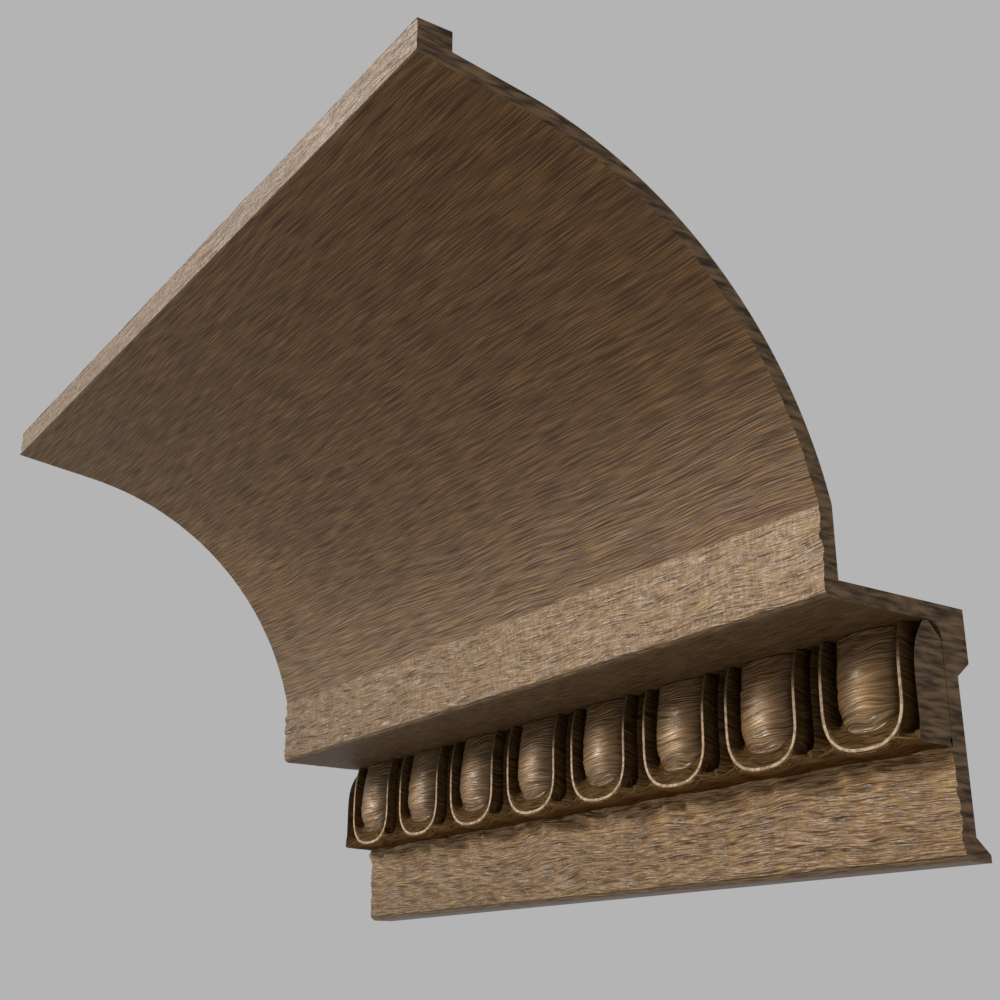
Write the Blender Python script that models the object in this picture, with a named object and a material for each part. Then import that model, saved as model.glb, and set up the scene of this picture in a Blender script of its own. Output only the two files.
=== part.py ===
"""Oak cornice length: a coved crown with a carved egg-and-dart bead under its soffit.

Metres, +Z up, +X along the run, the wall at y = 0 and the room on the -Y side.
The origin is the middle of the flat back that bears on the wall.
"""
import math

import bmesh
import bpy
from mathutils import Vector

# The run, cut square at both ends
RUN = 0.300

# Section of the cornice, measured out from the frieze face and up from its foot
HEIGHT = 0.1806
PROJECTION = 0.1650
FRIEZE_HEIGHT = 0.0615
BACK_DEPTH = 0.0101
BAND_OUT = 0.0431
BAND_HEIGHT = 0.0245
FILLET_HEIGHT = 0.0095
COVE_RADIUS = 0.1090
COVE_START = math.radians(14.2)
WALL = 0.0050
CEILING_SEAT = 0.0100
WALL_SEAT = 0.0150
HEEL_HEIGHT = 0.0020
RELIEF_SLOPE = 0.0040
FOOT_ROUND = 0.0030
INNER_ROUND = 0.0040
BAND_ROUND = 0.0022

# The carved strip, planted in the corner under the soffit
EGGS = 8
PITCH = RUN / EGGS
STRIP_TOP = 0.0612
STRIP_FOOT = 0.0283
GAP = 0.0003

# The bevel on the strip's top rear edge, clear of the cornice's rounded corner, as (out, up)
REAR_BEVEL = ((GAP + 0.0045, STRIP_TOP), (GAP, STRIP_TOP - 0.0045))

# Shell: a U-shaped wall round each egg, its flat thread-like rim foremost
RIM_HALF = 0.01365
RIM_LOW = 0.0293
RIM_OUT = 0.0123
RIM_WIDTH = 0.0012
SHELL_CENTRE = 0.0422
SHELL_POWER = 2.57
RIM_EASE = 0.0001
SHELL_FLOOR = 0.0060
SHELL_SLOPE = 0.0012

# At the bottom the shell's floor rises into a shallow dish that meets the rim
DISH_RISE = 0.0047
DISH_RUN = 0.0034

# Egg: a round tongue that leans back in its shell and runs out in the dish
EGG_HALF = 0.0112
EGG_LOW = 0.0344
EGG_CENTRE = 0.0435
EGG_OUT = 0.0143
EGG_POWER = 2.3
FLANK_POWER = 0.5
TOE_POWER = 1.0
LEAN_START = 0.0410
LEAN_RADIUS = 0.0570

# Dart: a sharp tongue between two shells, flaring to a barbed foot flush with the rims
DART_OUT = 0.0105
END_DART_OUT = 0.0123
GROOVE_OUT = 0.0055
BARB_OUT = 0.0121
END_BARB_OUT = 0.0127
BARB_TOP = 0.0313
BARB_LOW = 0.0290
BARB_FLARE = 0.0022

# Underside: a small bevel behind the lower edge, whose scallops die out towards the frieze
UNDER_BEVEL = 0.0012
BEVEL_SCALLOP = 0.55
BACK_SCALLOP = 0.20

# The faces of shells and darts roll back towards the soffit
ROLL_START = 0.0470
ROLL_END = 0.0625
ROLL_DEPTH = 0.0090
SHELL_ROLL = 0.40
DART_ROLL = 0.50
END_ROLL = 1.0

# Fineness of the solids
COVE_STEPS = 72
ROUND_STEPS = 6
LEG_STEPS = 4
BEND_STEPS = 24
DOME_STEPS = 6
DART_STEPS = 3

# The origin's height above the cornice's foot: the middle of the upper bearing on the wall
MOUNT_HEIGHT = FRIEZE_HEIGHT + WALL - WALL_SEAT / 2

# Points down each side of a unit: the legs, the dart below them, and the barb's top and point
SIDE_POINTS = LEG_STEPS + DART_STEPS + 3


def clear_scene():
    for item in list(bpy.data.objects):
        bpy.data.objects.remove(item, do_unlink=True)


def oak(name, colour, roughness):
    """Waxed oak: a plain Principled finish in the wood's own colour."""
    material = bpy.data.materials.new(name)
    material.use_nodes = True
    shader = material.node_tree.nodes["Principled BSDF"]
    shader.inputs["Base Color"].default_value = (*colour, 1.0)
    shader.inputs["Roughness"].default_value = roughness
    shader.inputs["Metallic"].default_value = 0.0
    material.diffuse_color = (*colour, 1.0)
    return material


def at(along, out, up):
    """A point from its place along the run, out from the frieze face and up from its foot."""
    return Vector((along, -BACK_DEPTH - out, up - MOUNT_HEIGHT))


def make_object(name, mesh_builder, material, smooth_angle):
    """One closed piece: merge, turn the faces outwards, triangulate, shade, give the finish."""
    body = bmesh.new()
    mesh_builder(body)
    bmesh.ops.remove_doubles(body, verts=body.verts, dist=1e-6)
    bmesh.ops.dissolve_degenerate(body, edges=body.edges, dist=1e-7)
    bmesh.ops.recalc_face_normals(body, faces=body.faces)
    bmesh.ops.triangulate(body, faces=body.faces)
    mesh = bpy.data.meshes.new(name)
    body.to_mesh(mesh)
    body.free()
    mesh.shade_smooth()
    mesh.set_sharp_from_angle(angle=smooth_angle)
    mesh.materials.append(material)
    piece = bpy.data.objects.new(name, mesh)
    bpy.context.collection.objects.link(piece)
    return piece


# The cornice: one section, run along X

def rounded(before, corner, after, radius):
    """The arc that rounds a corner of the section, from one side to the other."""
    before, corner, after = Vector(before), Vector(corner), Vector(after)
    side_in = (before - corner).normalized()
    side_out = (after - corner).normalized()
    half_angle = side_in.angle(side_out) / 2
    middle = corner + (side_in + side_out).normalized() * radius / math.sin(half_angle)
    start = corner + side_in * radius / math.tan(half_angle) - middle
    end = corner + side_out * radius / math.tan(half_angle) - middle
    turn = start.angle_signed(end)
    points = []
    for step in range(ROUND_STEPS + 1):
        angle = math.atan2(start.y, start.x) - turn * step / ROUND_STEPS
        points.append((middle.x + radius * math.cos(angle), middle.y + radius * math.sin(angle)))
    return points


def cove_centre():
    """The centre of the cove's arc, which starts at the band's top edge."""
    return (BAND_OUT + COVE_RADIUS * math.cos(COVE_START),
            FRIEZE_HEIGHT + BAND_HEIGHT - COVE_RADIUS * math.sin(COVE_START))


def cove_end():
    """The angle at which the arc runs off straight towards the top fillet's lower arris."""
    centre_out, centre_up = cove_centre()
    away = Vector((PROJECTION - centre_out, HEIGHT - FILLET_HEIGHT - centre_up))
    lean = math.atan2(away.x, away.y)
    return math.pi / 2 + lean - math.acos(COVE_RADIUS / away.length)


def cove_arc(radius, start, end):
    """Points of an arc round the cove's centre, angles measured up from the level."""
    centre_out, centre_up = cove_centre()
    points = []
    for step in range(COVE_STEPS + 1):
        angle = start + (end - start) * step / COVE_STEPS
        points.append((centre_out - radius * math.cos(angle), centre_up + radius * math.sin(angle)))
    return points


def cornice_section():
    """The closed outline, as distances out from the frieze face and up from its foot."""
    centre_out, centre_up = cove_centre()
    end = cove_end()
    foot = (0.0, 0.0)
    inner = (0.0, FRIEZE_HEIGHT)
    lip = (BAND_OUT, FRIEZE_HEIGHT)
    band_top = (BAND_OUT, FRIEZE_HEIGHT + BAND_HEIGHT)
    heel = (-BACK_DEPTH, 0.0)

    face = [heel]
    face += rounded(heel, foot, inner, FOOT_ROUND)
    face += rounded(foot, inner, lip, INNER_ROUND)
    face += rounded(inner, lip, band_top, BAND_ROUND)
    face += cove_arc(COVE_RADIUS, COVE_START, end)
    face += [(PROJECTION, HEIGHT - FILLET_HEIGHT), (PROJECTION, HEIGHT)]

    # The hollow back keeps one wall thickness behind the band, the cove and the soffit
    back_radius = COVE_RADIUS + WALL
    band_back = BAND_OUT - WALL
    back_start = math.acos((centre_out - band_back) / back_radius)
    seat_out = PROJECTION - CEILING_SEAT
    seat_low = centre_up + back_radius / math.sin(end) + (seat_out - centre_out) / math.tan(end)
    back = [(seat_out, HEIGHT), (seat_out, seat_low)]
    back += reversed(cove_arc(back_radius, back_start, end))
    back += [(band_back, FRIEZE_HEIGHT + WALL), (-BACK_DEPTH, FRIEZE_HEIGHT + WALL)]

    # Behind the frieze it bears on the wall above and at its heel, and is relieved between
    seat_foot = FRIEZE_HEIGHT + WALL - WALL_SEAT
    back += [(-BACK_DEPTH, seat_foot), (-WALL, seat_foot - RELIEF_SLOPE),
             (-WALL, HEEL_HEIGHT + RELIEF_SLOPE), (-BACK_DEPTH, HEEL_HEIGHT)]
    return face + back


def build_cornice(body):
    """The section drawn at the left end and extruded along the run."""
    corners = [body.verts.new(at(-RUN / 2, out, up)) for out, up in cornice_section()]
    end_face = body.faces.new(corners)
    moved = bmesh.ops.extrude_face_region(body, geom=[end_face])
    far_end = [item for item in moved["geom"] if isinstance(item, bmesh.types.BMVert)]
    bmesh.ops.translate(body, verts=far_end, vec=(RUN, 0.0, 0.0))


# The egg-and-dart strip: U-shaped rings round each egg, joined by bands of faces

def rolled(out, up, share):
    """A place on the strip's face after it rolls back near the top; the shell's floor stays."""
    reach = max(0.0, (up - ROLL_START) / (ROLL_END - ROLL_START))
    roll = ROLL_DEPTH * (1 - math.sqrt(1 - reach * reach))
    standing = max(0.0, out - SHELL_FLOOR) / (RIM_OUT - SHELL_FLOOR)
    return out - share * roll * standing


def leaned(out, up, swell):
    """A place on an egg after its face leans back on a long arc; its foot stays."""
    above = max(0.0, up - LEAN_START)
    return out - swell * (LEAN_RADIUS - math.sqrt(LEAN_RADIUS * LEAN_RADIUS - above * above))


def towards_toe(up, low):
    """From 0 beside the legs of a ring to 1 at its lowest point, eased at both."""
    down = max(0.0, (SHELL_CENTRE - up) / (SHELL_CENTRE - low))
    return down * down * (3 - 2 * down)


def dish(up, low):
    """How far out the shell's floor stands beside the egg, on a ring whose lowest point is given."""
    return SHELL_FLOOR + DISH_RISE * towards_toe(up, low)


def u_ring(half, low, centre, power):
    """A U from top left, round the bottom, to top right, as (sideways, up) points."""
    points = []
    for step in range(LEG_STEPS):
        points.append((-half, STRIP_TOP + (centre - STRIP_TOP) * step / LEG_STEPS))
    for step in range(BEND_STEPS + 1):
        angle = math.pi * step / BEND_STEPS
        across, down = math.cos(angle), max(0.0, math.sin(angle))
        side = -math.copysign(abs(across) ** (2 / power), across)
        points.append((half * side, centre - (centre - low) * down ** (2 / power)))
    for step in range(LEG_STEPS - 1, -1, -1):
        points.append((half, STRIP_TOP + (centre - STRIP_TOP) * step / LEG_STEPS))
    return points


def egg_rings():
    """The egg's dome, from the line of its crown out to its foot on the shell's floor."""
    foot = u_ring(EGG_HALF, EGG_LOW, EGG_CENTRE, EGG_POWER)
    rings = []
    for step in range(DOME_STEPS + 1):
        share = math.sin(math.pi / 2 * step / DOME_STEPS)
        ring = []
        for side, foot_up in foot:
            up = foot_up if foot_up > EGG_CENTRE else EGG_CENTRE - (EGG_CENTRE - foot_up) * share
            floor = dish(foot_up, EGG_LOW)
            power = FLANK_POWER + (TOE_POWER - FLANK_POWER) * towards_toe(foot_up, EGG_LOW)
            swell = max(0.0, 1 - share * share) ** power
            ring.append((side * share, leaned(floor + (EGG_OUT - floor) * swell, up, swell), up))
        rings.append(ring)
    return rings


def shell_rings():
    """The shell's wall: up from the floor beside the egg and over the rim."""
    edge = RIM_WIDTH / 2
    foot_low = RIM_LOW + edge + DISH_RUN
    foot = u_ring(RIM_HALF - edge - SHELL_SLOPE, foot_low, SHELL_CENTRE, SHELL_POWER)
    rings = [[(side, dish(up, foot_low), up) for side, up in foot]]
    for spread, out in ((-edge, RIM_OUT - RIM_EASE), (0.0, RIM_OUT), (edge, RIM_OUT - RIM_EASE)):
        outline = u_ring(RIM_HALF + spread, RIM_LOW - spread, SHELL_CENTRE, SHELL_POWER)
        rings.append([(side, rolled(out, up, SHELL_ROLL), up) for side, up in outline])
    return rings


def flare(up):
    """From 0 on the dart to 1 on its barb."""
    return min(1.0, max(0.0, (BARB_TOP + BARB_FLARE - up) / BARB_FLARE))


def groove_ring():
    """The bottom of the groove between shell and dart, rising to the barb at its lower end."""
    outline = u_ring(RIM_HALF + RIM_WIDTH / 2 + SHELL_SLOPE, RIM_LOW - RIM_WIDTH,
                     SHELL_CENTRE, SHELL_POWER)
    rise = BARB_OUT - RIM_EASE - GROOVE_OUT
    return [(side, GROOVE_OUT + rise * flare(up), up) for side, up in outline]


def dart_side(ridge, barb, share):
    """The dart's ridge from the strip's top down to the point of the barb, as (out, up)."""
    barb_root = BARB_TOP + BARB_FLARE
    heights = [STRIP_TOP + (SHELL_CENTRE - STRIP_TOP) * step / LEG_STEPS for step in range(LEG_STEPS)]
    heights += [SHELL_CENTRE + (barb_root - SHELL_CENTRE) * step / DART_STEPS
                for step in range(DART_STEPS + 1)]
    heights += [BARB_TOP, BARB_LOW]
    return [(rolled(ridge + (barb - ridge) * flare(up), up, share), up) for up in heights]


def lower_edge():
    """The strip's lower front edge, from one barb's point along the shell to the other's."""
    shell = u_ring(RIM_HALF + RIM_WIDTH, RIM_LOW - RIM_WIDTH, SHELL_CENTRE, SHELL_POWER)
    below = shell[SIDE_POINTS + 1:len(shell) - SIDE_POINTS - 1]
    first_side, first_up = below[0]
    joint_side, joint_up = (first_side - PITCH / 2) / 2, (first_up + BARB_LOW) / 2
    return [(joint_side, joint_up)] + below + [(-joint_side, joint_up)]


def outer_ring(left, right):
    """Down the left dart's ridge, along the lower edge and up the right dart's ridge."""
    ring = [(-PITCH / 2, out, up) for out, up in dart_side(*left)]
    ring += [(side, BARB_OUT - RIM_EASE, up) for side, up in lower_edge()]
    ring += [(PITCH / 2, out, up) for out, up in reversed(dart_side(*right))]
    return ring


def underside(out, up):
    """Behind a point of the lower edge: the bevel's inner edge and the point at the frieze."""
    above = up - STRIP_FOOT
    return ((out - UNDER_BEVEL, STRIP_FOOT + above * BEVEL_SCALLOP),
            (GAP, STRIP_FOOT + above * BACK_SCALLOP))


def strip_unit(body, centre, left, right):
    """One egg in its shell with the half darts beside it, open where the next unit joins."""
    def vertices(points):
        return [body.verts.new(at(centre + side, out, up)) for side, out, up in points]

    def band(inner, outer):
        for here in range(len(inner) - 1):
            body.faces.new((inner[here], inner[here + 1], outer[here + 1], outer[here]))

    edge = outer_ring(left, right)
    rings = egg_rings() + shell_rings() + [groove_ring(), edge]
    made = [vertices(ring) for ring in rings]
    for inner, outer in zip(made, made[1:]):
        band(inner, outer)

    front = edge[SIDE_POINTS - 1:len(edge) - SIDE_POINTS + 1]
    bevel = vertices([(side, *underside(out, up)[0]) for side, out, up in front])
    back = vertices([(side, *underside(out, up)[1]) for side, out, up in front])
    band(vertices(front), bevel)
    band(bevel, back)

    # The flat top with its bevelled rear edge, and the flat back
    (high_out, high_up), (low_out, low_up) = REAR_BEVEL
    top = vertices([ring[0] for ring in reversed(rings)] + [ring[-1] for ring in rings[1:]])
    rear = vertices([(PITCH / 2, high_out, high_up), (-PITCH / 2, high_out, high_up)])
    low = vertices([(-PITCH / 2, low_out, low_up), (PITCH / 2, low_out, low_up)])
    body.faces.new(top + rear)
    body.faces.new(rear + low)
    body.faces.new(low[:1] + back + low[1:])


def end_face(body, along, side_points):
    """The square cut at an end of the strip, on the outline of the last dart."""
    outline = side_points + list(underside(*side_points[-1])) + list(reversed(REAR_BEVEL))
    body.faces.new([body.verts.new(at(along, out, up)) for out, up in outline])


def build_strip(body):
    inner_dart = (DART_OUT, BARB_OUT, DART_ROLL)
    end_dart = (END_DART_OUT, END_BARB_OUT, END_ROLL)
    for egg in range(EGGS):
        left = end_dart if egg == 0 else inner_dart
        right = end_dart if egg == EGGS - 1 else inner_dart
        strip_unit(body, -RUN / 2 + PITCH * (egg + 0.5), left, right)
    for along in (-RUN / 2, RUN / 2):
        end_face(body, along, dart_side(*end_dart))


def main():
    clear_scene()
    make_object("cornice", build_cornice, oak("waxed_oak_run", (0.155, 0.098, 0.055), 0.5),
                math.radians(25))
    make_object("egg_and_dart_strip", build_strip, oak("waxed_oak_carved", (0.120, 0.075, 0.040), 0.45),
                math.radians(40))


main()
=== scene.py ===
# %% [markdown]
# # A length of carved oak cornice
# The object is a piece of cornice for the corner of wall and ceiling. One board carries the plain section:
# a top fillet, a deep cove, a band, a soffit and a flat frieze. A carved egg-and-dart bead sits under the
# soffit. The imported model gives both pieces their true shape. This script gives them the surface of stained,
# waxed oak.

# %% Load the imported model
import math

import bpy
import numpy as np
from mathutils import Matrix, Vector, kdtree, noise


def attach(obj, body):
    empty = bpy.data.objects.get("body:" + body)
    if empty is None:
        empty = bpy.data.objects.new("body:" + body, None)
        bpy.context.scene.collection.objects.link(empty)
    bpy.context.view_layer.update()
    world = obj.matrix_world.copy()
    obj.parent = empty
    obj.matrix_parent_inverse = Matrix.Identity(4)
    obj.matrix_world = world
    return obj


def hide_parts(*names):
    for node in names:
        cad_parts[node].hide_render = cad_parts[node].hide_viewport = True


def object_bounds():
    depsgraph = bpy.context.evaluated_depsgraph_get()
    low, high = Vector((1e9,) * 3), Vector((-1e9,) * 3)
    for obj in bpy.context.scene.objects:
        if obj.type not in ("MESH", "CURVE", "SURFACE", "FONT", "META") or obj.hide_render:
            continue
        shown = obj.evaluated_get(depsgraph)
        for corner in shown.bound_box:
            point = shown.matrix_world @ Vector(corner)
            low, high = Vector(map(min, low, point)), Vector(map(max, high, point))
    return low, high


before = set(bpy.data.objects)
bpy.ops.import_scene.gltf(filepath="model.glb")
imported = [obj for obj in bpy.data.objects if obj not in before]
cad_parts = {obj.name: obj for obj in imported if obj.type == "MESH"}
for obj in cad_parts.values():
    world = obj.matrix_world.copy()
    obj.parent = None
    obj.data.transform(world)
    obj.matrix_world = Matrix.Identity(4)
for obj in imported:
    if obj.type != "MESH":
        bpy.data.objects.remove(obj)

cad_low, cad_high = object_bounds()
print("CAD box, mm:", [round(1000 * size, 1) for size in cad_high - cad_low])

# %% [markdown]
# ## Places on the section
# A moulding is drawn as a section, so its places are two distances: out from the frieze's face, and up from
# its foot. The board's back is at y = 0 and the room is on the -Y side. Both distances are read from the
# model's box and from a few sizes of the section that are given below.

# %% Sizes of the section
MM = 0.001
FRIEZE_BACK = 10.1 * MM
FRIEZE_HEIGHT = 61.5 * MM
BAND_OUT = 43.1 * MM
BAND_TOP = 86.0 * MM
FILLET_FOOT = 171.1 * MM
STRIP_FOOT = 28.3 * MM
RUN = cad_high.x - cad_low.x
PROJECTION = -cad_low.y - FRIEZE_BACK


def out_of(y):
    """Distance out from the frieze's face."""
    return -y - FRIEZE_BACK


def up_of(z):
    """Height above the frieze's foot."""
    return z - cad_low.z


print("run and projection, mm:", round(RUN / MM, 1), round(PROJECTION / MM, 1))

# %% [markdown]
# ## Working on a copy of a node
# A CAD node is a mesh of loose triangles that must stay as it is. A copy is merged into one skin, and its
# triangles are joined to quads, because quads take even cuts and a smooth subdivision.

# %% Helpers for editing a mesh
def pick(piece):
    """Make one piece the only selected one, and the active one."""
    bpy.ops.object.select_all(action="DESELECT")
    piece.select_set(True)
    bpy.context.view_layer.objects.active = piece


def select_parts(piece, kind, chosen):
    """In edit mode, select only the vertices, edges or faces whose numbers are chosen."""
    bpy.ops.object.mode_set(mode="EDIT")
    bpy.context.tool_settings.mesh_select_mode = (kind == "vertices", kind == "edges", kind == "polygons")
    bpy.ops.mesh.select_all(action="DESELECT")
    bpy.ops.object.mode_set(mode="OBJECT")
    flags = np.zeros(len(getattr(piece.data, kind)), bool)
    flags[chosen] = True
    getattr(piece.data, kind).foreach_set("select", flags)
    bpy.ops.object.mode_set(mode="EDIT")


def read(items, name, width):
    """One property of many mesh parts as rows of numbers."""
    values = np.zeros(len(items) * width, np.float32)
    items.foreach_get(name, values)
    return values.reshape(-1, width)


# %% Copy a node
def copy_of_node(node, name):
    """A merged copy of a CAD node, in quads, without the notes that tie the node to the model."""
    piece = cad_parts[node].copy()
    piece.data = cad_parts[node].data.copy()
    piece.name = piece.data.name = name
    piece.parent = None
    for key in list(piece.keys()):
        del piece[key]
    bpy.context.collection.objects.link(piece)
    pick(piece)
    bpy.ops.object.mode_set(mode="EDIT")
    bpy.ops.mesh.select_all(action="SELECT")
    bpy.ops.mesh.customdata_custom_splitnormals_clear()
    bpy.ops.mesh.remove_doubles(threshold=0.001 * MM)
    bpy.ops.mesh.tris_convert_to_quads(face_threshold=math.radians(40), shape_threshold=math.radians(180))
    bpy.ops.object.mode_set(mode="OBJECT")
    print(name, "starts with", len(piece.data.vertices), "vertices and", len(piece.data.polygons), "faces")
    return piece


# %% [markdown]
# ## The board
# On the real cornice the section is milled in one pass, and the grain then stands a little proud of the cut,
# because brushing and wear take the soft early wood first. So the board starts as the plain milled section,
# and is cut into rows along the grain and columns across it that are fine enough to take that relief. The
# back stays plain, and no rows are cut where the carved strip hides the frieze and the soffit.

# %% Open the two ends
board = copy_of_node("cornice", "oak_cornice")
normals = read(board.data.polygons, "normal", 3)
select_parts(board, "polygons", np.abs(normals[:, 0]) > 0.9)
bpy.ops.mesh.delete(type="FACE")

# %% Part the frieze and the soffit where the strip begins to hide them
HIDDEN_ABOVE = STRIP_FOOT + 5 * MM
HIDDEN_BEHIND = 9 * MM


def cut_across(point, direction):
    """Slice the whole mesh with a plane and keep both sides."""
    bpy.ops.mesh.select_all(action="SELECT")
    bpy.ops.mesh.bisect(plane_co=point, plane_no=direction)


cut_across((0, 0, cad_low.z + HIDDEN_ABOVE), (0, 0, 1))
cut_across((0, -FRIEZE_BACK - HIDDEN_BEHIND, 0), (0, 1, 0))
bpy.ops.object.mode_set(mode="OBJECT")
print("open at the ends and parted:", len(board.data.polygons), "faces")

# %% How fine the rows are
FINE_ROW, COVE_ROW, SOFFIT_ROW = 0.5 * MM, 1.0 * MM, 1.4 * MM
NEAR = 1 * MM
MOST_CUTS = 100  # subdivide takes no more at a time


def row_height(out, up):
    """How fine the rows are at a place on the section; 0 where the face stays whole."""
    if up < HIDDEN_ABOVE and abs(out) < NEAR:
        return FINE_ROW
    if abs(up - FRIEZE_HEIGHT) < NEAR and out > HIDDEN_BEHIND:
        return SOFFIT_ROW
    if abs(out - BAND_OUT) < NEAR and FRIEZE_HEIGHT < up < BAND_TOP:
        return FINE_ROW
    if abs(out - PROJECTION) < NEAR:
        return FINE_ROW
    return COVE_ROW if up > BAND_TOP else 0


# %% Find the edges of the show side
def front_edges(piece, along):
    """Number, start and end of each edge of the show side that runs along the board, or across it."""
    mesh = piece.data
    normal = read(mesh.polygons, "normal", 3)
    front = (normal[:, 1] < 0.01) & (normal[:, 2] < 0.01)
    keys = {key for face in np.nonzero(front)[0] for key in mesh.polygons[face].edge_keys}
    points = read(mesh.vertices, "co", 3)
    found = []
    for edge in mesh.edges:
        start, end = points[edge.vertices[0]], points[edge.vertices[1]]
        runs_along = abs(start[0] - end[0]) > 0.9 * np.linalg.norm(start - end)
        if edge.key in keys and runs_along == along:
            found.append((edge.index, start, end))
    return found


def middle_of(start, end):
    """The middle of an edge, rounded so that the same edge is found again after other cuts."""
    return tuple(round(float(value), 6) for value in (start + end) / 2)


# %% Rows: cut each face of the section to its own fineness
middles_by_cuts = {}
for number, start, end in front_edges(board, along=False):
    middle = (start + end) / 2
    height = row_height(out_of(middle[1]), up_of(middle[2]))
    cuts = min(MOST_CUTS, math.ceil(np.linalg.norm(start - end) / height) - 1) if height else 0
    if cuts > 0:
        middles_by_cuts.setdefault(cuts, set()).add(middle_of(start, end))
for cuts in sorted(middles_by_cuts):
    chosen = [number for number, start, end in front_edges(board, along=False)
              if middle_of(start, end) in middles_by_cuts[cuts]]
    select_parts(board, "edges", chosen)
    bpy.ops.mesh.subdivide(number_cuts=cuts)
    bpy.ops.object.mode_set(mode="OBJECT")
print("rows cut:", len(board.data.polygons), "faces")

# %% Columns: cut the show side across the grain
COLUMN_CUTS = (69, 1, 1)
for cuts in COLUMN_CUTS:
    select_parts(board, "edges", [number for number, start, end in front_edges(board, along=True)])
    bpy.ops.mesh.subdivide(number_cuts=cuts)
    bpy.ops.object.mode_set(mode="OBJECT")
print("columns cut:", len(board.data.polygons), "faces")

# %% [markdown]
# ## A map that follows the grain
# The grain runs along the board and keeps its spacing on flat faces, in the cove and round the arrises. So it
# is drawn on a UV map: U is the place along the run, and V is the distance round the section, as a tape would
# measure it. V also wanders a little, because grain is never straight. Relief and colour both read this map.

# %% Measure round the section
def section_tape(piece):
    """The section's points with their distance along its outline, from the back edge of the ceiling seat."""
    points = read(piece.data.vertices, "co", 3).astype(float)
    end = set(np.nonzero(points[:, 0] < cad_low.x + 0.01 * MM)[0].tolist())
    beside = {number: [] for number in end}
    for first, second in read(piece.data.edges, "vertices", 2).astype(int).tolist():
        if first in end and second in end:
            beside[first].append(second)
            beside[second].append(first)
    top = [number for number in end if points[number, 2] > cad_high.z - 0.01 * MM]
    start = max(top, key=lambda number: points[number, 1])
    walk = [start, min(beside[start], key=lambda number: points[number, 1])]
    for step in range(len(end) - 2):
        walk += [number for number in beside[walk[-1]] if number != walk[-2]]
    outline = points[walk]
    steps = np.linalg.norm(np.diff(outline, axis=0), axis=1)
    return outline, np.concatenate([[0.0], np.cumsum(steps)])


def nearest_on(outline, distances, points):
    """The tape's reading at each point of the board."""
    finder = kdtree.KDTree(len(outline))
    for number, point in enumerate(outline):
        finder.insert((0, point[1], point[2]), number)
    finder.balance()
    return np.array([distances[finder.find((0, y, z))[1]] for x, y, z in points])


outline, distances = section_tape(board)
points = read(board.data.vertices, "co", 3).astype(float)
round_section = nearest_on(outline, distances, points)
print("round the section, mm:", round(distances[-1] / MM, 1))

# %% Find each face of the section
ON_FACE = 0.5 * MM
BAND_REACH = 38 * MM

point_normals = read(board.data.vertices, "normal", 3)
out, up = out_of(points[:, 1]), up_of(points[:, 2])
rightwards = (points[:, 0] - cad_low.x) / RUN
on_frieze = (np.abs(out) < ON_FACE) & (up < HIDDEN_ABOVE + 1 * MM)
on_band = (np.abs(out - BAND_OUT) < ON_FACE) & (up < BAND_TOP)
on_fillet = np.abs(out - PROJECTION) < ON_FACE
on_cove = (up > BAND_TOP) & (point_normals[:, 2] < 0.01) & ~on_fillet
on_soffit = (np.abs(up - FRIEZE_HEIGHT) < ON_FACE) & (out > HIDDEN_BEHIND)
near_band = np.clip(1 - (up - BAND_TOP) / BAND_REACH, 0, 1)
for name, face in (("frieze", on_frieze), ("band", on_band), ("fillet", on_fillet), ("cove", on_cove)):
    print("points on the", name + ":", int(face.sum()))

# %% Helpers for the map
MAP_UNIT = 10 * MM  # one unit of V, round the section
STRETCH = 4.0  # one unit of U is this many times longer, along the run


def drift(along, across, reach, length, width, seed):
    """How far the grain wanders from straight at each place, in metres."""
    return np.array([reach * noise.noise(Vector((u / length, v / width, 7.3 * seed)))
                     for u, v in zip(along, across)])


def grain_map(piece, along, across, straight=0):
    """A UV map that is short along the grain, so that round clouds on it are drawn out.

    On the faces that straight marks, the grain runs straighter, and its streaks are twice as long."""
    layer = piece.data.uv_layers.new(name="grain")
    corners = read(piece.data.loops, "vertex_index", 1).astype(int).ravel()
    sides = read(piece.data.polygons, "loop_total", 1).astype(int).ravel()
    spots = np.stack([along / MAP_UNIT / STRETCH, across / MAP_UNIT], 1)[corners]
    spots[:, 0] /= 1 + np.repeat(np.broadcast_to(straight, len(sides)), sides)
    layer.data.foreach_set("uv", spots.astype(np.float32).ravel())


# %% Draw the board's map
along = points[:, 0] + RUN
waviness = np.where(on_cove, 0.25 + 0.5 * near_band * rightwards, 1)
across = round_section + waviness * drift(along, round_section, 2.4 * MM, 38 * MM, 22 * MM, seed=1)
across += waviness * drift(along, round_section, 0.9 * MM, 13 * MM, 9 * MM, seed=2)
centres = read(board.data.polygons, "center", 3)
grain_map(board, along, across, straight=up_of(centres[:, 2]) > BAND_TOP)
print("the grain wanders by up to, mm:", round(float(np.abs(across - round_section).max()) / MM, 1))

# %% [markdown]
# ## Grain in relief
# Brushing and wear leave oak's grain standing in long wavy ridges. A Displace modifier moves each point along
# its normal by a cloud texture that reads the grain map, so the ridges are real geometry and show in the
# outline too. A vertex group says how deep the relief is: strong on frieze and band, weak in the cove, and
# only inwards on the fillet, which is the outermost face.

# %% Relief helpers
WEIGHT_STEPS = 50


def weigh(piece, name, weights):
    """A vertex group with a weight for each point, rounded because a group takes one weight at a time."""
    group = piece.vertex_groups.new(name=name)
    levels = np.round(np.clip(weights, 0, 1) * WEIGHT_STEPS).astype(int)
    for level in np.unique(levels):
        if level > 0:
            group.add(np.nonzero(levels == level)[0].tolist(), level / WEIGHT_STEPS, "REPLACE")


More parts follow.
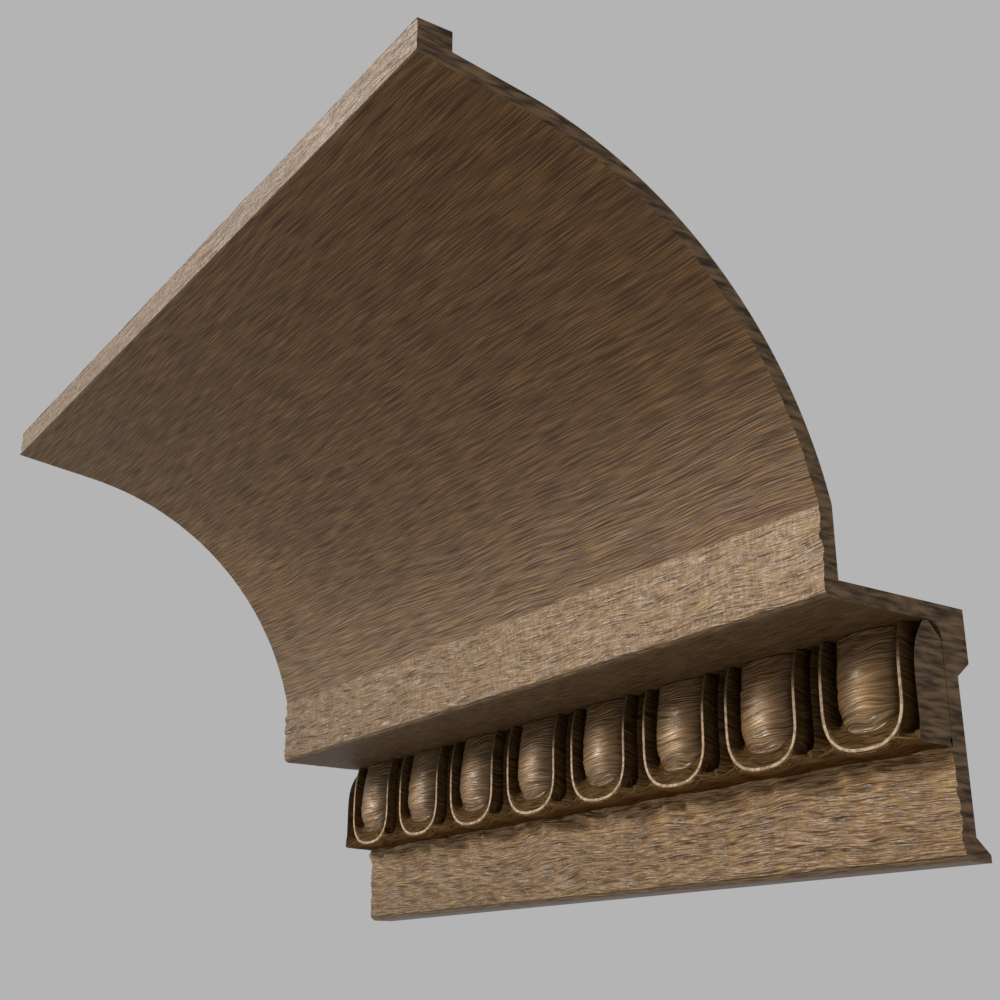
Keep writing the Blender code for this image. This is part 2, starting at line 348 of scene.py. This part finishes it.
def ridges(piece, name, weights, depth, width, middle=0.5, levels=1):
    """Displace a piece by clouds on its grain map; width is a ridge's real width.

    The modifier reads a map unit as two units of its texture."""
    weigh(piece, name, weights)
    texture = bpy.data.textures.new(name=name + "_clouds", type="CLOUDS")
    texture.noise_basis = "IMPROVED_PERLIN"
    texture.noise_scale = width / (MAP_UNIT / 2)
    texture.noise_depth = levels
    relief = piece.modifiers.new(name=name, type="DISPLACE")
    relief.texture = texture
    relief.texture_coords = "UV"
    relief.uv_layer = "grain"
    relief.vertex_group = name
    relief.strength = depth
    relief.mid_level = middle
    pick(piece)
    bpy.ops.object.modifier_apply(modifier=relief.name)


def fade(distance, reach):
    """0 at an edge, 1 further in than reach."""
    return np.clip(distance / reach, 0, 1)


def rising(left, more):
    """A value at the board's left end that is more at its right end."""
    return left + more * rightwards


# %% How deep the relief is on each face
frieze_depth = rising(0.65, 0.35) * fade(up, 3 * MM)
band_depth = 0.62 * fade(up - FRIEZE_HEIGHT, 2 * MM) * fade(BAND_TOP - up, 1.5 * MM)
cove_depth = (0.05 + rising(0.08, 0.26) * near_band) * fade(up - BAND_TOP, 1.5 * MM)
weights = np.where(on_frieze, frieze_depth, 0)
weights += np.where(on_band, band_depth, 0)
weights += np.where(on_cove, cove_depth * fade(FILLET_FOOT - up, 1 * MM), 0)
weights += np.where(on_soffit, 0.10, 0)
print("greatest depth in the cove:", round(float(weights[on_cove].max()), 2))

# %% Raise the ridges
ridges(board, "coarse_grain", weights, depth=4.2 * MM, width=3.1 * MM)
ridges(board, "fine_grain", weights, depth=2.2 * MM, width=1.8 * MM)
on_fillet_face = np.where(on_fillet, fade(up - FILLET_FOOT, 0.6 * MM), 0)
ridges(board, "fillet_grain", on_fillet_face, depth=0.7 * MM, width=2.2 * MM, middle=1.0, levels=2)
print("modifiers left on the board:", len(board.modifiers))

# %% [markdown]
# ## Nubs below the strip
# Two small nubs of raised grain belong to each egg. They stand on the frieze in the shade of the strip, and
# are taller than they are wide. Each is a smooth swelling on top of the relief that is already there.

# %% Raise the nubs
EGGS = 8
PITCH = RUN / EGGS
NUB_SIDES, NUB_UP = (-6.8 * MM, -17.0 * MM), 26.0 * MM
NUB_HALF, NUB_HEIGHT = 2.4 * MM, 1.5 * MM
NUB_WIDTH_TO_LENGTH = 0.7

co = read(board.data.vertices, "co", 3)
side = (co[:, 0] - cad_low.x) % PITCH - PITCH / 2
for nub in NUB_SIDES:
    away = np.minimum(np.abs(side - nub), PITCH - np.abs(side - nub))
    swell = np.exp(-(away ** 2 + ((up - NUB_UP) * NUB_WIDTH_TO_LENGTH) ** 2) / NUB_HALF ** 2)
    co[:, 1] -= np.where(on_frieze, NUB_HEIGHT * swell, 0)
board.data.vertices.foreach_set("co", co.ravel())
board.data.update()
heights = np.einsum("ij,ij->i", co - points, point_normals) / MM
print("relief, mm:", round(float(heights.min()), 2), "to", round(float(heights.max()), 2))

# %% [markdown]
# ## What the finish reads
# Each point carries a few numbers that the material reads as attributes. Tone scales the colour as painted
# light and shade: lighter where the light falls, darker where shade falls, with a soft painted highlight on
# each egg. Warmth says how golden the colour is. Rim makes the colour pale: on the strip's rims this is wear,
# which fades out near the soffit as painted shade, and on the board's fillet, frieze and band it is painted
# sheen.
# Recess darkens the hollows, the undersides and the soffit as painted shade. Figure says how clearly fine
# lines cross the grain, and polish how smooth the wax is. Relief is the height of the ridges in millimetres,
# and fine_relief says how strong the finest grain is. All this could be painted by hand, but worked out from
# the section it stays right if a size changes.

# %% Store what the finish reads on the board
def keep(piece, name, values, domain="POINT"):
    """Store a value for each point or face, which a material can read."""
    attribute = piece.data.attributes.new(name, "FLOAT", domain)
    attribute.data.foreach_set("value", np.asarray(values, np.float32))


# Painted light and shade on the board: the cove is lighter high up, more so at the left, and lighter near the
# band, more so at the right. The frieze is lighter towards the right, and lighter again just below the strip,
# over the strip's shadow. The band and the fillet are lighter towards the right.
cove_light_and_shade = 0.70 + (0.12 + 0.16 * (1 - rightwards)) * fade(up - 115 * MM, 35 * MM)
cove_light_and_shade = cove_light_and_shade + 0.08 * near_band + 0.10 * near_band * rightwards
frieze_light_and_shade = rising(0.92, 0.42) + 0.45 * fade(up - 18 * MM, 6 * MM)
painted_light_and_shade = np.where(on_frieze, frieze_light_and_shade, cove_light_and_shade)
painted_light_and_shade = np.where(on_band, rising(0.82, 0.54), painted_light_and_shade)
painted_light_and_shade = np.where(on_fillet, rising(0.82, 0.18), painted_light_and_shade)
# Painted sheen: the fillet, the frieze and the band are paled in small patches, the band more towards the
# right, where the light's sheen falls.
painted_sheen = np.where(on_fillet, 0.3, 0) + np.where(on_band, rising(0.12, 0.16), 0)
painted_sheen += np.where(on_frieze, 0.12, 0)
fine_relief = np.where(on_frieze, 0.65, 0) + np.where(on_band, 0.55, 0) + np.where(on_soffit, 0.1, 0)
fine_relief += np.where(on_cove, 0.2 + 0.25 * near_band, 0) + np.where(on_fillet, 0.4, 0)

keep(board, "painted_light_and_shade", painted_light_and_shade)
keep(board, "warmth", np.where(on_cove, rising(0.25, 0.75), 0))
keep(board, "rim", painted_sheen)
keep(board, "polish", np.where(on_cove | on_soffit, 0.3, 0.85))
keep(board, "relief", heights)
keep(board, "fine_relief", fine_relief)
keep(board, "figure", np.where(on_band, rising(0.35, 0.65), 0))
# Painted shade on the soffit.
keep(board, "painted_shade", np.where(on_soffit, 0.35, 0))
print("tone of the board:", round(float(painted_light_and_shade.min()), 2), "to", round(float(painted_light_and_shade.max()), 2))

# %% [markdown]
# ## The saw cuts
# The real length is cut square with a saw after milling. The relief has moved the points at the ends a little
# along the run, so they go back to the plane of the cut, and one face closes each end.

# %% Close the ends of the board
def square_off(piece):
    """Bring the points at both ends back to the plane of the saw cut."""
    co = read(piece.data.vertices, "co", 3)
    at_end = np.abs(np.abs(co[:, 0]) - RUN / 2) < 0.3 * MM
    co[at_end, 0] = np.sign(co[at_end, 0]) * RUN / 2
    piece.data.vertices.foreach_set("co", co.ravel())
    piece.data.update()


square_off(board)
for end in (-1, 1):
    at_cut = read(board.data.vertices, "co", 3)[:, 0] * end > RUN / 2 - 0.01 * MM
    pairs = read(board.data.edges, "vertices", 2).astype(int)
    select_parts(board, "edges", at_cut[pairs[:, 0]] & at_cut[pairs[:, 1]])
    bpy.ops.mesh.edge_face_add()
    bpy.ops.object.mode_set(mode="OBJECT")
board.vertex_groups.clear()
pick(board)
bpy.ops.object.shade_smooth_by_angle(angle=math.radians(65))
print("board:", sum(len(face.vertices) - 2 for face in board.data.polygons), "triangles")

# %% [markdown]
# ## The carved strip
# The bead is carved: eggs in shells, with a dart between each two. The node holds the carver's forms in
# flat facets. A Subdivision Surface rounds them, and creases keep the arrises that a gouge leaves sharp.

# %% Round the carved forms
ARRIS_ANGLE = math.radians(42)

strip = copy_of_node("egg_and_dart_strip", "oak_egg_and_dart")
bpy.ops.object.mode_set(mode="EDIT")
bpy.context.tool_settings.mesh_select_mode = (False, True, False)
bpy.ops.mesh.select_all(action="DESELECT")
bpy.ops.mesh.edges_select_sharp(sharpness=ARRIS_ANGLE)
bpy.ops.transform.edge_crease(value=1.0)
bpy.ops.object.mode_set(mode="OBJECT")
rounding = strip.modifiers.new(name="rounding", type="SUBSURF")
rounding.levels = rounding.render_levels = 2
pick(strip)
bpy.ops.object.modifier_apply(modifier=rounding.name)
print("strip:", 2 * len(strip.data.polygons), "triangles")

# %% [markdown]
# ## Where things are on the strip
# Each shell's rim is a U with a slightly square bend. The distance from that U tells egg, rim and dart apart.
# The rims are worn pale, and the pale fades out near the soffit as painted shade. The hollows are darkened as
# painted shade.

# %% Sizes of a shell
RIM_HALF, RIM_LOW, RIM_WIDTH, RIM_OUT = 13.65 * MM, 29.3 * MM, 1.2 * MM, 12.3 * MM
SHELL_CENTRE, SHELL_FLOOR = 42.2 * MM, 6.0 * MM
SHELL_POWER = 2.57  # 2 would be a round bend, and more is squarer
ROLL_FROM, ROLL_REACH, ROLL_DEPTH = 47 * MM, 15.5 * MM, 3.6 * MM


def off_rim(places):
    """How far outside the line of the nearest rim each place is; less than 0 on the egg's side."""
    sideways = np.abs((places[:, 0] - cad_low.x) % PITCH - PITCH / 2)
    below = np.maximum(SHELL_CENTRE - up_of(places[:, 2]), 0) / (SHELL_CENTRE - RIM_LOW)
    bend = ((sideways / RIM_HALF) ** SHELL_POWER + below ** SHELL_POWER) ** (1 / SHELL_POWER)
    return (bend - 1) * RIM_HALF


def rim_face_out(up):
    """How far out the rim stands at a height: it rolls back towards the soffit."""
    reach = np.clip((up - ROLL_FROM) / ROLL_REACH, 0, 0.99)
    return RIM_OUT - ROLL_DEPTH * (1 - np.sqrt(1 - reach ** 2))


print("width of a shell at its rim, mm:", round(2 * RIM_HALF / MM, 1))

# %% Find the rims
RUBBED_SHARE = 0.38
RIM_SHADED_ABOVE, RIM_SHADE_FADE = 54 * MM, 5 * MM

centres = read(strip.data.polygons, "center", 3)
facing = read(strip.data.polygons, "normal", 3)
face_out, face_up = out_of(centres[:, 1]), up_of(centres[:, 2])
on_rim = (np.abs(off_rim(centres)) < RUBBED_SHARE * RIM_WIDTH) & (facing[:, 1] < -0.5)
on_rim &= face_out > rim_face_out(face_up) - 0.4 * MM
# Worn pale rims, with the pale fading out above 54 mm as painted shade under the soffit.
keep(strip, "rim", on_rim * np.clip((RIM_SHADED_ABOVE - face_up) / RIM_SHADE_FADE, 0, 1), "FACE")
print("rim faces:", int(on_rim.sum()))

# %% Find the eggs, the dishes below them and the hollows
EGG_INSIDE, EGG_BLEND = 1.9 * MM, 0.8 * MM
DISH_INSIDE, DISH_BLEND, DISH_TOP = 0.7 * MM, 0.5 * MM, 40 * MM
HOLLOW_FROM, HOLLOW_REACH = 1.5 * MM, 4 * MM

points = read(strip.data.vertices, "co", 3)
point_normals = read(strip.data.vertices, "normal", 3)
out, up = out_of(points[:, 1]), up_of(points[:, 2])
outside = off_rim(points)
faces_up = np.clip(point_normals[:, 2] * 4, 0, 1) * (up < DISH_TOP)
egg = np.clip((-outside - EGG_INSIDE) / EGG_BLEND, 0, 1) * (1 - faces_up)
in_dish = np.clip((-outside - DISH_INSIDE) / DISH_BLEND, 0, 1) * (1 - egg)
hollow = np.clip((RIM_OUT - HOLLOW_FROM - out) / HOLLOW_REACH, 0, 1)
underneath = np.clip(-point_normals[:, 2] * 1.5 - 0.4, 0, 1) * (1 - egg)
print("points on the eggs:", int((egg > 0.5).sum()), "and underneath:", int((underneath > 0.5).sum()))

# %% [markdown]
# ## The carving's own grain
# The strip is one stick of oak, so the grain runs on through egg and dart, and a carved surface shows it
# slanting where the gouge has cut across it. So V is the height, and leans with the depth of the cut. A level
# face underneath has one height all over, so V leans more on the depth there, and wanders less.

# %% Draw the strip's map
side = (points[:, 0] - cad_low.x) % PITCH - PITCH / 2
along = points[:, 0] + RUN - point_normals[:, 0] * (out - SHELL_FLOOR)
across = up - (0.35 * (1 - egg) + 0.65 * underneath) * out - 0.10 * side * egg
calm = 1 - 0.85 * underneath
across = across + calm * drift(along, across, 2.2 * MM, 16 * MM, 12 * MM, seed=3)
across += calm * drift(along, across, 1.0 * MM, 5 * MM, 4 * MM, seed=4)
grain_map(strip, along, across)
print("grain map:", len(strip.data.uv_layers), "layer")

# %% Raise the carving's grain
at_end = np.abs(np.abs(points[:, 0]) - RUN / 2) < 0.01 * MM
front = (out > 1 * MM) & (up < 61 * MM) & ~at_end
on_wall = np.abs(outside) < 0.75 * RIM_WIDTH
weights = np.where(front & ~on_wall, 0.3 + 0.7 * egg, 0) * (1 - underneath)
ridges(strip, "carved_grain", weights, depth=0.85 * MM, width=1.6 * MM)
heights = np.einsum("ij,ij->i", read(strip.data.vertices, "co", 3) - points, point_normals) / MM
print("carved relief, mm:", round(float(heights.min()), 2), "to", round(float(heights.max()), 2))

# %% Store what the finish reads on the strip
# A painted highlight: a soft pale spot on each egg, 2 mm to the side of its middle and 45.5 mm up, where the
# light's highlight falls.
HIGHLIGHT_SIDE, HIGHLIGHT_UP, HIGHLIGHT_HALF = 2.0 * MM, 45.5 * MM, 3.8 * MM
HIGHLIGHT_LENGTH_TO_WIDTH = 2.2

highlight_up = (up - HIGHLIGHT_UP) / (HIGHLIGHT_LENGTH_TO_WIDTH * HIGHLIGHT_HALF)
painted_highlight = np.exp(-((side - HIGHLIGHT_SIDE) / HIGHLIGHT_HALF) ** 2 - highlight_up ** 2)
# Painted light and shade on the carving: darker than the board all over, the eggs lighter and more so towards
# the right, the dishes darker, and the undersides lighter.
egg_painted_light = 0.20 + 0.14 * (points[:, 0] - cad_low.x) / RUN
painted_light_and_shade = 0.54 + egg_painted_light * egg - 0.10 * in_dish + 1.0 * painted_highlight * egg + 0.7 * underneath
keep(strip, "relief", heights)
keep(strip, "fine_relief", np.where(on_wall, 0.05, 0.35) * (1 - underneath))
keep(strip, "painted_light_and_shade", painted_light_and_shade)
keep(strip, "warmth", np.zeros(len(points)))
keep(strip, "polish", egg - in_dish)
keep(strip, "figure", np.zeros(len(points)))
# Painted shade: darker in the hollows, less so on the eggs, and darker under the strip.
keep(strip, "painted_shade", np.maximum(hollow * (1 - 0.4 * egg), 0.5 * underneath))
strip.vertex_groups.clear()
pick(strip)
bpy.ops.object.shade_smooth_by_angle(angle=math.radians(50))
print("tone of the strip:", round(float(painted_light_and_shade.min()), 2), "to", round(float(painted_light_and_shade.max()), 2))

# %% [markdown]
# ## Stained and waxed oak
# Oak's colour comes from long fibres, bands of growth and short dark pores, all drawn out along the grain. An
# image could show them, but it would blur close up. Here each is a noise texture on the grain map, and its
# scale is worked out from a streak's length and width in millimetres.

# %% Colours and nodes
def colour(hex_code):
    """An sRGB hex colour as linear values."""
    parts = [int(hex_code[i:i + 2], 16) / 255 for i in (1, 3, 5)]
    linear = [part / 12.92 if part <= 0.04045 else ((part + 0.055) / 1.055) ** 2.4 for part in parts]
    return (*linear, 1.0)


def add(tree, kind, inputs, output=0, stops=(), **settings):
    """Add a node with its settings, colour stops, values and links, and give one of its outputs."""
    node = tree.nodes.new(kind)
    for name, value in settings.items():
        setattr(node, name, value)
    for number, (place, shade) in enumerate(stops):
        if number == len(node.color_ramp.elements):
            node.color_ramp.elements.new(1.0)
        node.color_ramp.elements[number].position = place
        node.color_ramp.elements[number].color = colour(shade)
    for name, value in inputs.items():
        if isinstance(value, bpy.types.NodeSocket):
            tree.links.new(value, node.inputs[name])
        else:
            node.inputs[name].default_value = value
    return node.outputs[output]


# %% Sockets that are known by number
SHARE, UNDER, OVER = 0, 6, 7  # a mix node has several sockets of the same name; these mix colours
MIX_COLOURS = {"output": 2, "data_type": "RGBA"}
ATTRIBUTE_VALUE = 2
OBJECT_PLACE = 3
MARKS = ("relief", "painted_shade", "painted_light_and_shade", "warmth", "figure", "rim", "fine_relief", "polish")


# %% Streaks of a real size
def streaks(tree, place, length, width, detail):
    """A pattern drawn out along the grain: length and width of one streak in millimetres."""
    scale = (MAP_UNIT / MM * STRETCH / length, MAP_UNIT / MM / width, 1.0)
    sized = add(tree, "ShaderNodeMapping", {"Vector": place, "Scale": scale})
    return add(tree, "ShaderNodeTexNoise", {"Vector": sized, "Scale": 1.0, "Detail": detail},
               noise_dimensions="2D")


# %% [markdown]
# ## The colour of the grain
# This is oak under a brown stain: mid brown, paler where the late wood is dense, and darker in the open
# pores, which hold the stain. Real pores are 0.2 to 0.3 mm wide and a few millimetres long. They are drawn
# coarser, with streaks 0.5 mm wide and 9 mm long, so that they show.

# %% Fibres, bands and pores
def grain_colour(tree, place, fibres, fine):
    """Brown oak from its fibres, its fine lines, its bands of growth and its pores."""
    bands = streaks(tree, place, 80, 6, 0.0)
    pores = streaks(tree, place, 9, 0.5, 0.0)
    shade = add(tree, "ShaderNodeMath", {0: fibres, 1: 0.32, 2: 0.07}, operation="MULTIPLY_ADD")
    shade = add(tree, "ShaderNodeMath", {0: bands, 1: 0.04, 2: shade}, operation="MULTIPLY_ADD")
    shade = add(tree, "ShaderNodeMath", {0: fine, 1: 0.5, 2: shade}, operation="MULTIPLY_ADD")
    wood = add(tree, "ShaderNodeValToRGB", {"Fac": shade},
               stops=((0.36, "#594127"), (0.47, "#6d5333"), (0.54, "#7d603e"), (0.66, "#94774f")))
    pore_mask = add(tree, "ShaderNodeValToRGB", {"Fac": pores}, stops=((0.33, "#ffffff"), (0.46, "#000000")))
    return add(tree, "ShaderNodeMix", {SHARE: pore_mask, UNDER: wood, OVER: colour("#c6b49c")},
               **MIX_COLOURS, blend_type="MULTIPLY")


# %% [markdown]
# ## Stain, painted shade, painted light and wear
# The colour is darker between the ridges, partly from stain and partly as painted shade, and darker in the
# recesses as painted shade. It is then made lighter or darker by place as painted light and shade, and more
# golden in places. On the band, fine lines cross the grain, as they do where oak is cut close to its rays.
# Last
# come small pale patches: on the rims they are wear, and on the frieze, the band and the fillet they are
# painted sheen.

# %% Stain with painted shade and painted light
def stain_and_painted_light(tree, wood, marks):
    """The wood's colour, darker between ridges as stain and painted shade, and in recesses as painted shade,
    then lighter or darker by place as painted light and shade, and more golden by place.
    """
    # Darker between the ridges: partly stain that lies in the valleys, partly painted shade.
    valley_stain_and_shade = add(tree, "ShaderNodeMapRange", {"Value": marks["relief"], "From Min": -0.1, "From Max": -0.7,
                                                "To Min": 0.0, "To Max": 0.6})
    wood = add(tree, "ShaderNodeMix", {SHARE: valley_stain_and_shade, UNDER: wood, OVER: colour("#8a745c")},
               **MIX_COLOURS, blend_type="MULTIPLY")
    # Painted shade in the recesses.
    wood = add(tree, "ShaderNodeMix", {SHARE: marks["painted_shade"], UNDER: wood, OVER: colour("#a8967c")},
               **MIX_COLOURS, blend_type="MULTIPLY")
    # Painted light and shade: the colour is scaled up or down by place.
    wood = add(tree, "ShaderNodeVectorMath", {0: wood, "Scale": marks["painted_light_and_shade"]}, operation="SCALE")
    return add(tree, "ShaderNodeMix", {SHARE: marks["warmth"], UNDER: wood, OVER: colour("#fff0d2")},
               **MIX_COLOURS, blend_type="MULTIPLY")


# %% Lines across the grain, worn rims and painted sheen
PATCH = 1.6 * MM


def wear_and_sheen_colour(tree, place, wood, marks):
    """The colour with the lines that cross the grain, then pale patches: wear on the rims, painted sheen on
    the board.
    """
    across_lines = streaks(tree, place, 0.9, 6, 1.0)
    shown = add(tree, "ShaderNodeMapRange", {"Value": across_lines, "From Min": 0.48, "From Max": 0.68,
                                             "To Min": 0.0, "To Max": 0.34})
    shown = add(tree, "ShaderNodeMath", {0: shown, 1: marks["figure"]}, operation="MULTIPLY")
    wood = add(tree, "ShaderNodeMix", {SHARE: shown, UNDER: wood, OVER: colour("#b39a82")}, **MIX_COLOURS)
    spot = add(tree, "ShaderNodeTexCoord", {}, OBJECT_PLACE)
    patches = add(tree, "ShaderNodeTexNoise", {"Vector": spot, "Scale": 1 / PATCH, "Detail": 1.0})
    pale = add(tree, "ShaderNodeValToRGB", {"Fac": patches}, stops=((0.40, "#7d654a"), (0.56, "#ab9070")))
    # Pale patches: wear on the strip's rims, painted sheen on the fillet, frieze and band.
    return add(tree, "ShaderNodeMix", {SHARE: marks["rim"], UNDER: wood, OVER: pale}, **MIX_COLOURS)


# %% [markdown]
# ## Wax over the stain
# Paste wax is rubbed in with a cloth. It fills the pores a little and leaves a satin surface, smoother where
# the cloth could reach, so polish takes roughness away. The finest grain is a bump in the shading alone, and
# is drawn deeper than on real wood so that it shows. Solid wax has an index of about 1.44. A thin film over
# open grain reflects less, so the run has a lower one. Dust and dry stain in the hollows hardly reflect at
# all, so their index is close to that of air.

# %% Oak along the grain
WAXED, POLISHED, DRY = 1.36, 1.42, 1.06
SMOOTHEST, ROUGHEST, POLISH_GAIN = 0.58, 0.68, -0.31
FINE_GRAIN_DEPTH = 1.0 * MM


def stained_oak(name, wax):
    """Stained and waxed oak with streaks, pores and fine ridges; wax is the index of its surface."""
    material = bpy.data.materials.new(name)
    material.use_nodes = True
    tree = material.node_tree
    shader = tree.nodes["Principled BSDF"]
    place = add(tree, "ShaderNodeUVMap", {}, uv_map="grain")
    marks = {mark: add(tree, "ShaderNodeAttribute", {}, ATTRIBUTE_VALUE, attribute_name=mark)
             for mark in MARKS}
    fibres = streaks(tree, place, 10, 0.6, 1.0)
    fine = streaks(tree, place, 6, 0.36, 2.0)

    wood = grain_colour(tree, place, fibres, fine)
    wood = stain_and_painted_light(tree, wood, marks)
    wood = wear_and_sheen_colour(tree, place, wood, marks)
    tree.links.new(wood, shader.inputs["Base Color"])

    height = add(tree, "ShaderNodeMath", {0: fine, 1: 0.5, 2: fibres}, operation="MULTIPLY_ADD")
    height = add(tree, "ShaderNodeMath", {0: height, 1: marks["fine_relief"]}, operation="MULTIPLY")
    bump = add(tree, "ShaderNodeBump", {"Height": height, "Strength": 1.0, "Distance": FINE_GRAIN_DEPTH})
    tree.links.new(bump, shader.inputs["Normal"])
    shine = add(tree, "ShaderNodeMapRange", {"Value": fibres, "From Min": 0.3, "From Max": 0.7,
                                             "To Min": SMOOTHEST, "To Max": ROUGHEST})
    shine = add(tree, "ShaderNodeMath", {0: marks["polish"], 1: POLISH_GAIN, 2: shine},
                operation="MULTIPLY_ADD")
    tree.links.new(shine, shader.inputs["Roughness"])
    shader.inputs["Metallic"].default_value = 0.0
    shader.inputs["IOR"].default_value = wax
    print(name, "has", len(tree.nodes), "nodes")
    return material


# %% [markdown]
# ## Sawn end grain
# A saw cuts the fibres across. The open ends drink more stain, so they are darker, and they drink the wax
# too, so they reflect less. Growth shows there as short streaks from front to back. The pattern reads Object
# coordinates, since the grain map follows the show faces and not the cut.

# %% Oak across the grain
SAWN_STREAK = (5 * MM, 9 * MM, 1.6 * MM)  # along the run, front to back, and up
NOISE_TURN = math.radians(32)  # turns the noise's own grid, so that it doesn't line up with the cut
SAWN_ROUGHNESS, SAWN = 0.5, 1.29


def sawn_end(name):
    """End grain: brown, with darker streaks that run from front to back."""
    material = bpy.data.materials.new(name)
    material.use_nodes = True
    tree = material.node_tree
    shader = tree.nodes["Principled BSDF"]
    place = add(tree, "ShaderNodeTexCoord", {}, OBJECT_PLACE)
    sized = add(tree, "ShaderNodeMapping", {"Vector": place, "Rotation": (NOISE_TURN, 0, 0),
                                            "Scale": tuple(1 / size for size in SAWN_STREAK)})
    growth = add(tree, "ShaderNodeTexNoise", {"Vector": sized, "Scale": 1.0, "Detail": 3.0,
                                              "Distortion": 0.3})
    wood = add(tree, "ShaderNodeValToRGB", {"Fac": growth},
               stops=((0.36, "#3a2b1b"), (0.48, "#624c34"), (0.64, "#85694c")))
    tree.links.new(wood, shader.inputs["Base Color"])
    bump = add(tree, "ShaderNodeBump", {"Height": growth, "Strength": 0.6, "Distance": 0.4 * MM})
    tree.links.new(bump, shader.inputs["Normal"])
    shader.inputs["Roughness"].default_value = SAWN_ROUGHNESS
    shader.inputs["IOR"].default_value = SAWN
    print(name, "has", len(tree.nodes), "nodes")
    return material


# %% [markdown]
# ## One finish for each kind of surface
# A cloth reaches the eggs and rims, so they are polished and gleam. All the rest of the strip stays dry and
# dull, darts as well as dishes, which makes the carving look deep. The board has one waxed finish, with a
# soft sheen on its ridges. The sawn ends are darker and duller, which shows where the moulding was cut.

# %% Give the pieces their finish
POLISHED_INSIDE = 2.3 * MM


def finish_piece(piece, finishes, hollow=False):
    """The first finish on the show faces, the second on the two saw cuts, the third in the hollows."""
    piece.data.materials.clear()
    for finish in finishes:
        piece.data.materials.append(finish)
    cut = np.abs(read(piece.data.polygons, "normal", 3)[:, 0]) > 0.99
    middle = read(piece.data.polygons, "center", 3)
    cut &= np.abs(np.abs(middle[:, 0]) - RUN / 2) < 0.05 * MM
    slots = np.where(cut, 1, np.where(hollow, 2, 0)).astype(np.int32)
    piece.data.polygons.foreach_set("material_index", slots)
    piece.data.update()
    print(piece.name, "has", int(cut.sum()), "faces of end grain")


end_grain = sawn_end("oak_end_grain_sawn")
finish_piece(board, (stained_oak("oak_run_waxed", WAXED), end_grain))
on_egg = (off_rim(centres) < -POLISHED_INSIDE) & ((facing[:, 2] < 0.1) | (face_up > DISH_TOP))
carved = (stained_oak("oak_carved_waxed", POLISHED), end_grain, stained_oak("oak_hollows_dry", DRY))
finish_piece(strip, carved, ~(on_egg | on_rim))

# %% [markdown]
# ## What stands for what
# Each new piece rides on the one body and replaces the node that it was copied from.

# %% Tie the pieces to the model
for piece, node, slot in ((board, "cornice", "run_oak"), (strip, "egg_and_dart_strip", "carved_oak")):
    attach(piece, "root")
    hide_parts(node)
    print(piece.name, "stands for", node)

# %% [markdown]
# ## Studio
# The photograph looks up at the moulding from below and from its right. One broad soft light stands in front
# of the wall on the left, a little above the moulding, and a plain grey room fills in the rest.

# %% Floor
FLOOR_SIZE, FLOOR_DROP = 8.0, 0.35

bpy.ops.mesh.primitive_plane_add(size=FLOOR_SIZE, location=(0, 0, -FLOOR_DROP))
floor = bpy.context.object
floor.name = "floor"
pale_floor = bpy.data.materials.new("pale_floor")
pale_floor.use_nodes = True
paint = pale_floor.node_tree.nodes["Principled BSDF"]
paint.inputs["Base Color"].default_value = colour("#bdbdbd")
paint.inputs["Roughness"].default_value = 0.9
floor.data.materials.append(pale_floor)
print("floor:", FLOOR_DROP, "m below the origin")

# %% Light and world
LIGHT_WAY = Vector((-0.52, -0.77, 0.36)).normalized()
LIGHT_DISTANCE, LIGHT_SIZE, LIGHT_WATTS = 3.0, 1.0, 97

lamp = bpy.data.lights.new("soft_light", "AREA")
lamp.shape = "DISK"
lamp.size = LIGHT_SIZE
lamp.energy = LIGHT_WATTS
light = bpy.data.objects.new("soft_light", lamp)
light.location = LIGHT_WAY * LIGHT_DISTANCE
light.rotation_mode = "QUATERNION"
light.rotation_quaternion = LIGHT_WAY.to_track_quat("Z", "Y")
bpy.context.collection.objects.link(light)

world = bpy.data.worlds.new("grey_room")
world.use_nodes = True
world.node_tree.nodes["Background"].inputs["Color"].default_value = colour("#b4b4b4")
bpy.context.scene.world = world
bpy.context.scene.view_settings.view_transform = "Standard"
print("light:", LIGHT_WATTS, "watts at", LIGHT_DISTANCE, "m")

# %% Camera
EYE = Vector((0.3770, -0.3084, -0.0938))
SEEN = Vector((-0.0092, -0.0416, 0.0784))

lens = bpy.data.cameras.new("photo_view")
lens.lens = 50
lens.sensor_width = 36
lens.clip_start = 0.01
camera = bpy.data.objects.new("photo_view", lens)
camera.location = EYE
camera.rotation_mode = "QUATERNION"
camera.rotation_quaternion = (SEEN - EYE).to_track_quat("-Z", "Y")
bpy.context.collection.objects.link(camera)
bpy.context.scene.camera = camera
print("camera:", round((SEEN - EYE).length, 3), "m from the moulding")
